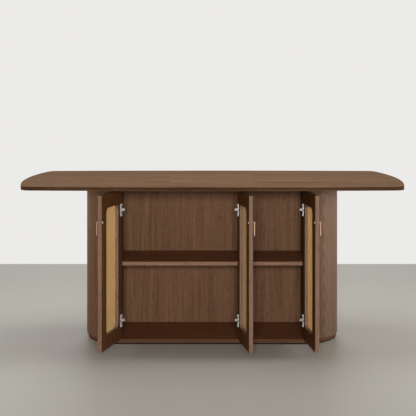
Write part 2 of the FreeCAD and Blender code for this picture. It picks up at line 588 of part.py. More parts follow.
def make_doors():
    """Each door: a framed panel with a cane window, two hinges and a drop pull, swung to where it stands."""
    cup, arm, plate, post, drop = make_cup(), make_arm(), make_plate(), make_post(), make_drop()
    cup_screws, plate_screws = make_hinge_screws()
    # A link drops its source's own place, so each rod is held in a group of one
    pin = group("hinge_pin", [rod("hinge_pin_rod", "Z", "dim.pin_radius", "-dim.pin_length / 2",
                                  "dim.pin_length / 2", ("0", "0"))])
    pull_pin = group("pull_pin", [rod("pull_pin_rod", "X", "dim.pull_pin_radius", "-dim.fork_width / 2",
                                      "dim.fork_width / 2", ("-dim.pull_reach", "0"))])
    pull_screw = screw("pull_screw", "Y", "-dim.pull_screw_bite", "dim.door_thickness",
                       "dim.door_thickness + dim.pull_head_height", ("0", "0"),
                       "dim.pull_screw_radius", "dim.pull_head_radius")
    fixings = []
    for door, wall, hand, width in (("left", f"-{WALL_X}", 1, PAIR_WIDTH),
                                    ("middle", "dim.partition_left", -1, PAIR_WIDTH),
                                    ("right", WALL_X, -1, SINGLE_WIDTH)):
        pivot_x = f"({wall} + {hand} * {PLATE_X})"
        pivot_y = f"({DOOR_Y} + dim.pivot_depth)"
        swing = f"rotation(vector(0; 0; 1); {-hand} * dim.{door}_door_angle)"
        shut = HALF_TURN if hand > 0 else NO_TURN
        hung = f"{swing} * {shut}"
        where = spot(pivot_x, pivot_y, DOOR_MID_Z, hung)
        hinge_z = [f"({DOOR_MID_Z} + {level})" for level in (HINGE_HIGH, HINGE_LOW)]
        free_x = f"(dim.pivot_inset - {width})"
        pull_x = f"({free_x} + dim.pull_inset)"

        def set_of(label, source, turn):
            links = [copy(f"{label}_{i}", source, spot(pivot_x, pivot_y, z, turn))
                     for i, z in enumerate(hinge_z)]
            return subpart(group(label, links), label)

        set_of(f"hinge_cups_{door}", cup, hung)
        set_of(f"hinge_pins_{door}", pin, hung)
        set_of(f"cup_screws_{door}", cup_screws, hung)
        set_of(f"hinge_arms_{door}", arm, shut)
        set_of(f"hinge_plates_{door}", plate, shut)
        fixings += [copy(f"plate_screws_{door}_{i}", plate_screws, spot(pivot_x, pivot_y, z, shut))
                    for i, z in enumerate(hinge_z)]

        tall = (f"-{DOOR_HEIGHT} / 2", f"{DOOR_HEIGHT} / 2")
        thick = ("-dim.pivot_depth", DOOR_BACK)
        blank = box(f"door_blank_{door}", (free_x, "dim.pivot_inset"), thick, tall)
        hinge_edge = size("dim.pivot_inset")
        turning = rounded(f"door_turning_{door}", blank, lambda edge: runs_along("z")(edge)
                          and abs(edge.BoundBox.XMax - hinge_edge) < 1e-4, "dim.door_edge_radius")
        free_edge = size(free_x)
        eased = rounded(f"door_eased_{door}", turning, lambda edge: lies_flat(edge)
                        or abs(edge.BoundBox.XMax - free_edge) < 1e-4, "dim.eased_edge")
        rebate_floor = "(dim.rebate_depth - dim.pivot_depth)"

        def window(name, margin, y, radius):
            x = (f"{free_x} + dim.frame_width - ({margin})",
                 f"dim.pivot_inset - dim.frame_width + ({margin})")
            half = f"({DOOR_HEIGHT} / 2 - dim.frame_width + ({margin}))"
            return rounded_slab(f"{name}_{door}", x, y, (f"-{half}", half), radius)

        through = window("window_cut", "0", ("-dim.door_thickness", "dim.door_thickness"),
                         "dim.window_radius")
        rebate = window("rebate_cut", "dim.rebate_width", ("-dim.pivot_depth - 1", rebate_floor),
                        "dim.window_radius + dim.rebate_width")
        turned = hand > 0
        levels = [f"-{level}" if turned else level for level in (HINGE_HIGH, HINGE_LOW)]
        pull_level = f"-{PULL_Z}" if turned else PULL_Z
        cup_floor = f"{DOOR_BACK} - dim.cup_depth"
        bores = [rod(f"cup_bore_{door}_{i}", "Y", "dim.cup_radius", cup_floor, f"{DOOR_BACK} + 1",
                     (CUP_X, level))
                 for i, level in enumerate(levels)]
        pilots = [rod(f"pilot_{door}_{i}{j}", "Y", "dim.small_screw_radius",
                      f"{FLANGE_Y} - dim.small_screw_length", f"{DOOR_BACK} + 1",
                      (CUP_X, f"{level} {sign} dim.cup_screw_spacing / 2"))
                  for i, level in enumerate(levels) for j, sign in enumerate(("-", "+"))]
        pull_hole = rod(f"pull_hole_{door}", "Y", "dim.pull_screw_radius", "-dim.pivot_depth - 1",
                        f"{DOOR_BACK} + 1", (pull_x, pull_level))
        framed = cut(f"door_framed_{door}", eased, through)
        rebated = cut(f"door_rebated_{door}", framed, rebate)
        frame = cut(f"door_frame_{door}", rebated, group(f"door_holes_{door}", [*bores, *pilots, pull_hole]))
        cane_y = (f"{rebate_floor} - dim.cane_thickness", rebate_floor)
        bead_y = ("-dim.pivot_depth", cane_y[0])
        rim = "dim.rebate_width - dim.rebate_play"
        rim_radius = f"dim.window_radius + {rim}"
        cane = window("cane_panel", rim, cane_y, rim_radius)
        bead = cut(f"cane_bead_{door}", window("bead_blank", rim, bead_y, rim_radius), through)
        for piece, name in ((frame, "door_frame"), (cane, "cane_panel"), (bead, "cane_bead")):
            piece.setExpression("Placement", where)
            subpart(piece, f"{name}_{door}")

        on_face = spot(pivot_x, pivot_y, DOOR_MID_Z, swing) + " * " + spot(
            f"{-hand} * {pull_x}", "-dim.pivot_depth", PULL_Z)
        for name, source in (("pull_post", post), ("pull_pin", pull_pin),
                             ("pull_screw", pull_screw), ("pull_drop", drop)):
            subpart(group(f"{name}_{door}", [copy(f"{name}_link_{door}", source, on_face)]), f"{name}_{door}")
    return subpart(group("plate_screws", fixings), "plate_screws")


def export_subparts():
    """Check every object, then write one STEP file for each sub-part."""
    doc.recompute()
    for item in doc.Objects:
        if "Invalid" in item.State or "Error" in item.State:
            raise RuntimeError(f"{item.Label} failed: {item.State}")
    for item in subparts:
        if item.Shape.isNull() or not item.Shape.isValid() or not item.Shape.Solids:
            raise RuntimeError(f"{item.Label} has no valid shape")
    os.makedirs("parts", exist_ok=True)
    for item in subparts:
        item.Shape.exportStep(f"parts/{item.Label}.step")
        print(f"{item.Label}: {len(item.Shape.Solids)} solids, {item.Shape.Volume / 1000:.1f} cm3")


top_screw_set = make_table_top()
bottom_screw_set = make_boards(top_screw_set)
shelf_pin_set = make_shelf_pins()
plate_screw_set = make_doors()
make_panels(group("panel_fixings", [bottom_screw_set, shelf_pin_set, plate_screw_set]))
export_subparts()
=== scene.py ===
"""Finishes a kitchen table with a storage cabinet: veneer, woven cane, hinges, pulls and a plain studio."""

import json
import math

import bpy
from mathutils import Matrix, Vector


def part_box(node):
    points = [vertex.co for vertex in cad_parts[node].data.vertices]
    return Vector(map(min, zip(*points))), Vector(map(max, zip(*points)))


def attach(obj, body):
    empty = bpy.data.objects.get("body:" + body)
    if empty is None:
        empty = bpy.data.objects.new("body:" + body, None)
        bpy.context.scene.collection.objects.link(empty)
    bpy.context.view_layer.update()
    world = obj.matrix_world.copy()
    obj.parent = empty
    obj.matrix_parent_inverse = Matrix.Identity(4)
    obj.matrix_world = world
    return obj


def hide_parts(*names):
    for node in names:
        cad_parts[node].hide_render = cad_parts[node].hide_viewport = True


bl_info = {
    "name": "Kitchen Table Finish",
    "version": (1, 0, 0),
    "blender": (4, 5, 0),
    "location": "3D View > Sidebar > Table",
    "description": "Veneer, woven cane, hinge screws and a studio for a table with a storage cabinet",
    "category": "Object",
}

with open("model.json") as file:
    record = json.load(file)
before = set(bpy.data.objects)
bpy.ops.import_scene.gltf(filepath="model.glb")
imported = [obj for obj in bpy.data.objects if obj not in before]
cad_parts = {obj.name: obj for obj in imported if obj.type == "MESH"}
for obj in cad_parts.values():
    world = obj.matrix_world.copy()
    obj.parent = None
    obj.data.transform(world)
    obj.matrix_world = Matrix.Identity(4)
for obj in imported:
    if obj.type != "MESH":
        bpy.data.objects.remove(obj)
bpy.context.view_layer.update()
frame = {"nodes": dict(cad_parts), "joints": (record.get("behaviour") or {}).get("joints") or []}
DOORS = ("left", "middle", "right")
MM = 0.001


def linear(hex_colour):
    """An sRGB hex colour as linear red, green and blue."""
    channels = [int(hex_colour[i:i + 2], 16) / 255 for i in (1, 3, 5)]
    return tuple(c / 12.92 if c <= 0.04045 else ((c + 0.055) / 1.055) ** 2.4 for c in channels)


def colour(name, description, default):
    """A colour that a user may change, from an sRGB hex value."""
    return bpy.props.FloatVectorProperty(
        name=name, description=description, subtype="COLOR", size=3, min=0, max=1, default=linear(default))


def length(name, description, default):
    """A length in metres that a user may change."""
    return bpy.props.FloatProperty(
        name=name, description=description, unit="LENGTH", min=0, precision=5, default=default)


class WalnutFinish(bpy.types.PropertyGroup):
    """Colours and grain sizes of the walnut veneer."""

    light: colour("Light wood", "Early wood between the growth lines", "#80604a")
    middle: colour("Middle wood", "The veneer's general colour", "#6f4f39")
    dark: colour("Dark wood", "Late wood and dark streaks", "#5b3d2a")
    figure_width: length("Figure width", "Width of the broad cathedral figure", 0.075)
    figure_length: length("Figure length", "Length of the broad cathedral figure", 1.1)
    arch_width: length("Arch width", "Distance aside in which a crown cut's growth line drops by one line", 0.016)
    arch_rise: length("Arch rise", "Height from one crown arch to the next", 0.042)
    streak_width: length("Streak width", "Width of the fine colour streaks", 0.005)
    streak_length: length("Streak length", "Length of the fine colour streaks", 0.42)
    # Width of the painted highlight along the edges
    highlight_edge_width: length("Highlight edge width", "Width of the edges painted paler as a highlight", 0.003)
    pore_width: length("Pore width", "Width of the open pores", 0.0042)
    pore_length: length("Pore length", "Length of the open pores", 0.030)


class CaneFinish(bpy.types.PropertyGroup):
    """Sizes and colours of the woven cane."""

    pitch: length("Pitch", "Distance from one strand to the next", 0.0055)
    strand_width: length("Strand width", "Width of one flat strand", 0.0046)
    strand_thickness: length("Strand thickness", "Thickness of one strand", 0.0005)
    light: colour("Light cane", "Pale, glossy bark of the strand", "#fae0a6")
    dark: colour("Dark cane", "Darker fibres of the strand", "#eac484")


class MetalFinish(bpy.types.PropertyGroup):
    """Colours of the hinges and the pulls."""

    nickel: colour("Nickel", "Plated steel of the hinges and screws", "#d6d2cc")
    zinc: colour("Zinc", "Die-cast hinge arms and plates", "#7c7874")
    brass: colour("Pale brass", "Brushed metal of the drop pulls", "#b59784")


class StudioSetup(bpy.types.PropertyGroup):
    """Floor, light and camera."""

    floor: colour("Floor", "Plain pale floor", "#aeaaa0")
    backdrop: colour("Backdrop", "Plain pale background", "#ecebea")
    floor_back: length("Floor back", "How far the floor reaches behind the table", 2.013)
    lens: bpy.props.FloatProperty(
        name="Lens", description="Focal length in millimetres on a 36 mm wide sensor", default=89.05)
    camera_place: bpy.props.FloatVectorProperty(
        name="Camera", description="Where the camera stands", subtype="TRANSLATION", unit="LENGTH",
        default=(-0.020, -5.003, 1.200))
    camera_shift: bpy.props.FloatProperty(
        name="Vertical shift", description="Drop of the level camera's picture, as a share of its width",
        default=-0.2885)
    ambient: bpy.props.FloatProperty(
        name="Ambient", description="Strength of the even light from all round", min=0, default=0.02)


def add_node(tree, kind, settings=(), links=()):
    """A shader node with its settings, which are attributes, input values or a ramp's stops, and its links."""
    node = tree.nodes.new(kind)
    for key, value in dict(settings).items():
        if key == "stops":
            elements = node.color_ramp.elements
            while len(elements) < len(value):
                elements.new(1)
            for element, (place, tint) in zip(elements, value):
                element.position = place
                element.color = (*tint, 1)
        elif isinstance(key, str) and hasattr(node, key):
            setattr(node, key, value)
        else:
            node.inputs[key].default_value = value
    for key, source in dict(links).items():
        tree.links.new(source, node.inputs[key])
    return node


def new_material(name):
    """A new material without nodes, and its node tree."""
    material = bpy.data.materials.new(name)
    material.use_nodes = True
    tree = material.node_tree
    tree.nodes.clear()
    return material, tree


def grey(value):
    """One value for red, green and blue."""
    return (value, value, value)


def along(grain, across, lengthwise):
    """Mapping scale that makes a pattern so wide across the grain and so long along it, in metres."""
    sizes = {axis: 1 / across for axis in "XYZ"}
    sizes[grain] = 1 / lengthwise
    return tuple(sizes[axis] for axis in "XYZ")


# How much the streaks and the growth lines weigh in the veneer's tone, and what centres it on the middle colour
STREAK_SHARE, LINE_SHARE, CROWN_LINE_SHARE, TONE_SHIFT = 0.55, 0.07, 0.16, 0.10
# Growth lines from the figure's lowest to its highest value, and how far it bends a crown cut's arches
FIGURE_LINES, ARCH_WANDER = 11.0, 3.0
# The factor by which the painted highlight lightens the edges' colour
PAINTED_EDGE_HIGHLIGHT = 1.6


def walnut_veneer(name, grain, start, tone_and_painted_shade=(1, 1, 1), roughness=0.55, face=(0, 0, 1), band=None, behind=None,
                  crown=None, broad_share=0.14, specular=0.04):
    """Sliced walnut veneer under a matt lacquer: long soft streaks, faint growth lines and fine open pores.

    tone_and_painted_shade is a factor for each colour of the whole veneer: the wood's own tone, and on most boards
    a painted shade too. band is the same for the solid lipping on the edges, which are all surfaces that look
    neither along face nor away from it; it also paints light on edges drawn lighter and shade on edges drawn
    darker.
    behind is a painted shade on the back faces, which look away from it. crown is the X of a crown cut's middle,
    where growth lines close into arches.
    broad_share is how much the broad figure shows, and specular how much the lacquer shines.
    """
    wood = bpy.context.scene.table_walnut
    material, tree = new_material(name)
    texture = add_node(tree, "ShaderNodeTexCoord")
    place = texture.outputs["Object"]

    # Real pores are 0.2 mm wide and would not show, so they are drawn about twenty times as coarse
    fields = []
    for width, long, detail, rough, distortion in (
            (wood.figure_width, wood.figure_length, 2, 0.5, 0.4),
            (wood.streak_width, wood.streak_length, 4, 0.62, 0.0),
            (wood.pore_width, wood.pore_length, 2, 0.5, 0.0)):
        mapping = add_node(tree, "ShaderNodeMapping", {
            "Location": start, "Scale": along(grain, width, long)}, {"Vector": place})
        noise = add_node(tree, "ShaderNodeTexNoise", {
            "Scale": 1.0, "Detail": detail, "Roughness": rough, "Distortion": distortion},
            {"Vector": mapping.outputs[0]})
        fields.append(noise.outputs["Fac"])
    figure, streaks, pores = fields

    # Growth lines are contours of the broad figure, or nested parabolas in a crown cut
    counted = add_node(tree, "ShaderNodeMath", {"operation": "MULTIPLY", 1: FIGURE_LINES}, {0: figure})
    if crown is not None:
        parts = add_node(tree, "ShaderNodeSeparateXYZ", links={0: place})
        aside = add_node(tree, "ShaderNodeMapRange", {
            "clamp": False, "From Min": crown, "From Max": crown + wood.arch_width, "To Min": 0.0, "To Max": 1.0},
            {"Value": parts.outputs["X"]})
        bowed = add_node(tree, "ShaderNodeMath", {"operation": "POWER", 1: 2.0}, {0: aside.outputs[0]})
        risen = add_node(tree, "ShaderNodeMath", {"operation": "MULTIPLY_ADD", 1: 1 / wood.arch_rise},
                         {0: parts.outputs["Z"], 2: bowed.outputs[0]})
        wavy = add_node(tree, "ShaderNodeMath", {"operation": "MULTIPLY", 1: ARCH_WANDER}, {0: figure})
        counted = add_node(tree, "ShaderNodeMath", {"operation": "ADD"}, {0: risen.outputs[0], 1: wavy.outputs[0]})
    swung = add_node(tree, "ShaderNodeMath", {"operation": "PINGPONG", 1: 1.0}, {0: counted.outputs[0]})
    lines = add_node(tree, "ShaderNodeValToRGB", {
        "stops": [(0.0, grey(0.0)), (0.45, grey(0.75)), (1.0, grey(1.0))]}, {"Fac": swung.outputs[0]})

    weighed = add_node(tree, "ShaderNodeMath", {
        "operation": "MULTIPLY_ADD", 1: STREAK_SHARE, 2: TONE_SHIFT - broad_share / 2}, {0: streaks})
    broad = add_node(tree, "ShaderNodeMath", {"operation": "MULTIPLY_ADD", 1: broad_share},
                     {0: figure, 2: weighed.outputs[0]})
    tone = add_node(tree, "ShaderNodeMath", {
        "operation": "MULTIPLY_ADD", 1: LINE_SHARE if crown is None else CROWN_LINE_SHARE},
        {0: lines.outputs[0], 2: broad.outputs[0]})
    # Every stop is scaled by the tone factor, which on most boards is also a painted shade
    shades = ((0.24, wood.dark), (0.42, wood.middle), (0.60, wood.light))
    tint = add_node(tree, "ShaderNodeValToRGB", {
        "stops": [(stop, tuple(c * f for c, f in zip(shade, tone_and_painted_shade))) for stop, shade in shades]},
        {"Fac": tone.outputs[0]})
    open_pores = add_node(tree, "ShaderNodeValToRGB", {
        "stops": [(0.30, grey(0.70)), (0.46, grey(1.0))]}, {"Fac": pores})
    coloured = add_node(tree, "ShaderNodeMix", {"data_type": "RGBA", "blend_type": "MULTIPLY", "Factor": 1.0},
                        {6: tint.outputs[0], 7: open_pores.outputs[0]})

    # The lipping, with its painted light and shade, and the painted shade on the back faces fade in between two
    # cosines to the face's direction
    wood_colour = coloured.outputs[2]
    looks = add_node(tree, "ShaderNodeVectorMath", {"operation": "DOT_PRODUCT", 1: face},
                     {0: texture.outputs["Normal"]}).outputs["Value"]
    flat = add_node(tree, "ShaderNodeMath", {"operation": "ABSOLUTE"}, {0: looks}).outputs[0]
    for factors, measure, within, beyond in ((band, flat, 0.35, 0.75), (behind, looks, -0.75, -0.35)):
        if factors:
            zone = add_node(tree, "ShaderNodeMapRange", {
                "data_type": "FLOAT_VECTOR", 7: grey(within), 8: grey(beyond), 9: factors, 10: grey(1)},
                {6: measure})
            wood_colour = add_node(tree, "ShaderNodeVectorMath", {"operation": "MULTIPLY"}, {
                0: wood_colour, 1: zone.outputs[1]}).outputs[0]

    # Painted highlight: edges are drawn paler within the highlight width, as if they caught the light
    eased = add_node(tree, "ShaderNodeBevel", {"samples": 4, "Radius": wood.highlight_edge_width}).outputs[0]
    sharp = add_node(tree, "ShaderNodeNewGeometry").outputs["Normal"]
    agrees = add_node(tree, "ShaderNodeVectorMath", {"operation": "DOT_PRODUCT"}, {0: eased, 1: sharp})
    retint = add_node(tree, "ShaderNodeMapRange", {
        "From Min": 0.75, "From Max": 0.98, "To Min": PAINTED_EDGE_HIGHLIGHT, "To Max": 1.0}, {"Value": agrees.outputs["Value"]})
    wood_colour = add_node(tree, "ShaderNodeVectorMath", {"operation": "SCALE"}, {
        0: wood_colour, "Scale": retint.outputs[0]}).outputs[0]

    satin = add_node(tree, "ShaderNodeMapRange", {
        "From Min": 0.3, "From Max": 0.7, "To Min": roughness + 0.08, "To Max": roughness - 0.08},
        {"Value": streaks})
    height = add_node(tree, "ShaderNodeMath", {"operation": "MULTIPLY_ADD", 1: 0.25},
                      {0: streaks, 2: open_pores.outputs[0]})
    bump = add_node(tree, "ShaderNodeBump", {"Strength": 0.25, "Distance": 0.3 * MM},
                    {"Height": height.outputs[0]})
    shader = add_node(tree, "ShaderNodeBsdfPrincipled", {"IOR": 1.5, "Specular IOR Level": specular}, {
        "Base Color": wood_colour, "Roughness": satin.outputs[0], "Normal": bump.outputs[0]})
    add_node(tree, "ShaderNodeOutputMaterial", links={"Surface": shader.outputs[0]})
    return material


def plated_metal(name, tint, roughness, brush, metallic=1.0):
    """Plated or brushed metal: fine scratches along brush sizes in metres turn its gloss into a soft streak."""
    material, tree = new_material(name)
    place = add_node(tree, "ShaderNodeTexCoord").outputs["Object"]
    mapping = add_node(tree, "ShaderNodeMapping", {"Scale": tuple(1 / size for size in brush)}, {"Vector": place})
    scratches = add_node(tree, "ShaderNodeTexNoise", {"Scale": 1.0, "Detail": 3, "Roughness": 0.6},
                         {"Vector": mapping.outputs[0]}).outputs["Fac"]
    retint = add_node(tree, "ShaderNodeValToRGB", {
        "stops": [(0.3, tuple(c * 0.82 for c in tint)), (0.7, tuple(tint))]}, {"Fac": scratches})
    gloss = add_node(tree, "ShaderNodeMapRange", {
        "From Min": 0.3, "From Max": 0.7, "To Min": roughness + 0.12, "To Max": roughness}, {"Value": scratches})
    bump = add_node(tree, "ShaderNodeBump", {"Strength": 0.12, "Distance": 0.1 * MM}, {"Height": scratches})
    shader = add_node(tree, "ShaderNodeBsdfPrincipled", {"Metallic": metallic}, {
        "Base Color": retint.outputs[0], "Roughness": gloss.outputs[0], "Normal": bump.outputs[0]})
    add_node(tree, "ShaderNodeOutputMaterial", links={"Surface": shader.outputs[0]})
    return material


def cane_bark():
    """Peeled cane bark: a hard, slightly glossy skin with fine fibres along each strand and odd darker spots."""
    cane = bpy.context.scene.table_cane
    material, tree = new_material("cane_bark")
    texture = add_node(tree, "ShaderNodeTexCoord")
    fibre_map = add_node(tree, "ShaderNodeMapping", {"Scale": (9.0, 0.6, 1.0)}, {"Vector": texture.outputs["UV"]})
    fibres = add_node(tree, "ShaderNodeTexNoise", {"Scale": 1.0, "Detail": 3, "Roughness": 0.6},
                      {"Vector": fibre_map.outputs[0]}).outputs["Fac"]
    patch_map = add_node(tree, "ShaderNodeMapping", {"Scale": grey(1 / (14 * MM))},
                         {"Vector": texture.outputs["Object"]})
    patches = add_node(tree, "ShaderNodeTexNoise", {"Scale": 1.0, "Detail": 2, "Roughness": 0.6},
                       {"Vector": patch_map.outputs[0]}).outputs["Fac"]
    half = add_node(tree, "ShaderNodeMath", {"operation": "MULTIPLY", 1: 0.5}, {0: fibres})
    tone = add_node(tree, "ShaderNodeMath", {"operation": "MULTIPLY_ADD", 1: 0.5},
                    {0: patches, 2: half.outputs[0]})
    tint = add_node(tree, "ShaderNodeValToRGB", {
        "stops": [(0.32, tuple(cane.dark)), (0.62, tuple(cane.light))]}, {"Fac": tone.outputs[0]})
    bump = add_node(tree, "ShaderNodeBump", {"Strength": 0.2, "Distance": 0.2 * MM}, {"Height": fibres})
    gloss = add_node(tree, "ShaderNodeMapRange", {
        "From Min": 0.3, "From Max": 0.7, "To Min": 0.55, "To Max": 0.38}, {"Value": patches})
    skin = add_node(tree, "ShaderNodeBsdfPrincipled", {"IOR": 1.5, "Specular IOR Level": 0.3}, {
        "Base Color": tint.outputs[0], "Roughness": gloss.outputs[0], "Normal": bump.outputs[0]})
    # Light that comes through a strand meets both of its faces, so each takes the root of the colour
    passed = add_node(tree, "ShaderNodeGamma", {"Gamma": 0.5}, {"Color": tint.outputs[0]})
    glow = add_node(tree, "ShaderNodeBsdfTranslucent", links={"Color": passed.outputs[0]})
    mixed = add_node(tree, "ShaderNodeMixShader", {"Fac": 0.5}, {1: skin.outputs[0], 2: glow.outputs[0]})
    add_node(tree, "ShaderNodeOutputMaterial", links={"Surface": mixed.outputs[0]})
    return material


def pad_rubber():
    """Moulded rubber: nearly black, with a fine matt grain."""
    material, tree = new_material("pad_rubber")
    place = add_node(tree, "ShaderNodeTexCoord").outputs["Object"]
    mapping = add_node(tree, "ShaderNodeMapping", {"Scale": grey(1 / (1.5 * MM))}, {"Vector": place})
    grain = add_node(tree, "ShaderNodeTexNoise", {"Scale": 1.0, "Detail": 2}, {"Vector": mapping.outputs[0]})
    tint = add_node(tree, "ShaderNodeValToRGB", {
        "stops": [(0.3, linear("#1c1b1a")), (0.7, linear("#2b2a28"))]}, {"Fac": grain.outputs["Fac"]})
    bump = add_node(tree, "ShaderNodeBump", {"Strength": 0.3, "Distance": 0.2 * MM},
                    {"Height": grain.outputs["Fac"]})
    shader = add_node(tree, "ShaderNodeBsdfPrincipled", {"Roughness": 0.8}, {
        "Base Color": tint.outputs[0], "Normal": bump.outputs[0]})
    add_node(tree, "ShaderNodeOutputMaterial", links={"Surface": shader.outputs[0]})
    return material


def plain_stage(name, tint, roughness):
    """A plain painted surface for the studio."""
    material, tree = new_material(name)
    shader = add_node(tree, "ShaderNodeBsdfPrincipled", {"Base Color": (*tint, 1), "Roughness": roughness})
    add_node(tree, "ShaderNodeOutputMaterial", links={"Surface": shader.outputs[0]})
    return material


def paint(node, material):
    """Gives a CAD node one material."""
    mesh = frame["nodes"][node].data
    mesh.materials.clear()
    mesh.materials.append(material)


def only(piece):
    """Selects one object alone and makes it active."""
    if bpy.context.object and bpy.context.object.mode != "OBJECT":
        bpy.ops.object.mode_set(mode="OBJECT")
    bpy.ops.object.select_all(action="DESELECT")
    piece.hide_set(False)
    piece.select_set(True)
    bpy.context.view_layer.objects.active = piece


def apply_modifiers(piece):
    """Applies a piece's modifiers in their order."""
    only(piece)
    for modifier in list(piece.modifiers):
        bpy.ops.object.modifier_apply(modifier=modifier.name)


def settle(piece, turn):
    """Moves a piece's mesh by a matrix and leaves its object at the origin."""
    only(piece)
    piece.matrix_world = turn @ piece.matrix_world
    bpy.ops.object.transform_apply(location=True, rotation=True, scale=True)


def joined(pieces, name):
    """Several objects as one, under a name."""
    only(pieces[0])
    for piece in pieces:
        piece.select_set(True)
    bpy.ops.object.join()
    whole = bpy.context.object
    whole.name = name
    whole.data.name = name
    return whole


def copied(piece):
    """A copy with a mesh of its own."""
    twin = piece.copy()
    twin.data = piece.data.copy()
    bpy.context.collection.objects.link(twin)
    return twin


def joint_named(name):
    """The frame's joint of a name."""
    return [joint for joint in frame["joints"] if joint["name"] == name][0]


def door_turn(door):
    """The matrix that takes a shut door to where it stands at rest, from its joint's shut limit."""
    joint = joint_named(f"{door}_door_swing")
    shut = max(joint["range_deg"], key=abs)
    pivot = Matrix.Translation(Vector(joint["pos_m"]))
    return pivot @ Matrix.Rotation(math.radians(-shut), 4, Vector(joint["axis"])) @ pivot.inverted()


def shut_box(node, door):
    """Lowest and highest corner of a door's node with the door shut."""
    back = door_turn(door).inverted()
    return corners_of([back @ vertex.co for vertex in frame["nodes"][node].data.vertices])


def solid_points(node, turn):
    """Places of the vertices of each separate solid of a CAD node, after a turn."""
    twin = copied(frame["nodes"][node])
    twin.parent = None
    twin.matrix_world = Matrix.Identity(4)
    only(twin)
    bpy.ops.object.mode_set(mode="EDIT")
    bpy.ops.mesh.select_all(action="SELECT")
    bpy.ops.mesh.remove_doubles(threshold=1e-6)
    bpy.ops.mesh.separate(type="LOOSE")
    bpy.ops.object.mode_set(mode="OBJECT")
    solids = []
    for solid in list(bpy.context.selected_objects):
        solids.append([turn @ vertex.co for vertex in solid.data.vertices])
        bpy.data.objects.remove(solid)
    return solids


def corners_of(points):
    """Lowest and highest corner of some points."""
    return (Vector([min(p[i] for p in points) for i in range(3)]),
            Vector([max(p[i] for p in points) for i in range(3)]))


def pick(piece, chosen):
    """Selects in edit mode the faces of a piece that a test chooses."""
    only(piece)
    bpy.ops.object.mode_set(mode="EDIT")
    bpy.ops.mesh.select_mode(type="FACE")
    bpy.ops.mesh.select_all(action="DESELECT")
    bpy.ops.object.mode_set(mode="OBJECT")
    for face in piece.data.polygons:
        face.select = chosen(face)
    bpy.ops.object.mode_set(mode="EDIT")


# The top's edges are darkened as a painted shade; the top's own tone is the wood's
TOP_VENEER = {"tone_and_painted_shade": (0.95, 1.05, 0.99), "roughness": 0.7, "band": (0.33, 0.28, 0.25), "broad_share": 0.45}
# Each veneer's name, its grain's direction, where its pattern starts, its options and the nodes it covers
VENEERS = (
    ("walnut_top_veneer", "X", (3.1, 0.4, 0.0), TOP_VENEER, ("table_top_left", "table_top_right")),
    ("walnut_leaf_veneer", "X", (7.7, 5.3, 2.0), TOP_VENEER, ("table_top_centre",)),
    # Board tops warmed and deepened as painted shade, as if lit only by light bounced off the wood; their edges
    # lifted lighter again as painted light
    ("walnut_board_veneer", "X", (1.3, 8.2, 4.1), {"tone_and_painted_shade": (1.15, 0.9, 0.75), "band": (1.1, 1.6, 2.35)},
     ("carcass_top", "shelf_left", "shelf_right")),
    # The lower board's top is warmed and deepened and its edges darkened, as painted shade
    ("walnut_lower_board_veneer", "X", (6.1, 2.8, 0.7), {"tone_and_painted_shade": (1.05, 0.8, 0.62), "band": (0.5, 0.65, 0.82)},
     ("carcass_bottom",)),
    # The back panel is darkened as painted shade at the back of the cabinet
    ("walnut_back_veneer", "Z", (2.6, 1.9, 0.3), {"tone_and_painted_shade": grey(0.84)}, ("back_panel",)),
    # The inner walls are darkened and deepened as painted shade inside the cabinet
    ("walnut_wall_veneer", "Z", (8.3, 3.7, 5.9), {"tone_and_painted_shade": (0.6, 0.5, 0.38)},
     ("side_panel_left", "side_panel_right", "partition")),
    # Both curved ends are darkened as painted shade, the left end more and warmer than the right, as if less lit
    ("walnut_left_end_veneer", "Z", (5.4, 6.8, 1.7),
     {"tone_and_painted_shade": (0.59, 0.54, 0.47), "crown": -0.53, "broad_share": 0.35, "specular": 0.18}, ("curved_end_left",)),
    ("walnut_right_end_veneer", "Z", (2.2, 9.1, 3.3),
     {"tone_and_painted_shade": (0.62, 0.68, 0.76), "crown": 0.53, "broad_share": 0.35, "specular": 0.25}, ("curved_end_right",)),
    # Near black: a painted shadow in the gap under the bottom board, shared by hidden parts
    ("painted_shadow_plinth", "X", (0.2, 0.9, 6.3), {"tone_and_painted_shade": grey(0.06), "roughness": 0.7},
     ("plinth", "end_formers", "top_dowels")),
)
# The doors are darkened as painted shade; their edges are drawn lighter as painted light, and their back faces
# darker as painted shade, the more so the further right the door stands
DOOR_TONE_AND_PAINTED_SHADE, DOOR_LIPPING_AND_PAINTED_LIGHT = grey(0.8), (1.35, 1.6, 2.05)
DOOR_PAINTED_BACK_SHADES = {"left": (0.85, 0.7, 0.55), "middle": (0.72, 0.56, 0.4), "right": (0.64, 0.46, 0.3)}


class TABLE_OT_veneer(bpy.types.Operator):
    """Lay walnut veneer on every board, panel and door"""

    bl_idname = "table.veneer"
    bl_label = "Veneer"

    def execute(self, context):
        for name, grain, start, options, nodes in VENEERS:
            veneer = walnut_veneer(name, grain, start, **options)
            for node in nodes:
                paint(node, veneer)
        # Each door's pattern starts elsewhere, and its lipping with its painted light and its back face with its
        # painted shade are told from its face by the way it looks at rest
        for i, door in enumerate(DOORS):
            outward = door_turn(door).to_3x3() @ Vector((0, -1, 0))
            veneer = walnut_veneer(f"walnut_door_veneer_{door}", "Z", (4.0 + 3 * i, 2.0 + i, 0.6 * i),
                                   tone_and_painted_shade=DOOR_TONE_AND_PAINTED_SHADE, face=outward, band=DOOR_LIPPING_AND_PAINTED_LIGHT, behind=DOOR_PAINTED_BACK_SHADES[door])
            paint(f"door_frame_{door}", veneer)
            paint(f"cane_bead_{door}", veneer)
        paint("floor_pads", pad_rubber())
        return {"FINISHED"}


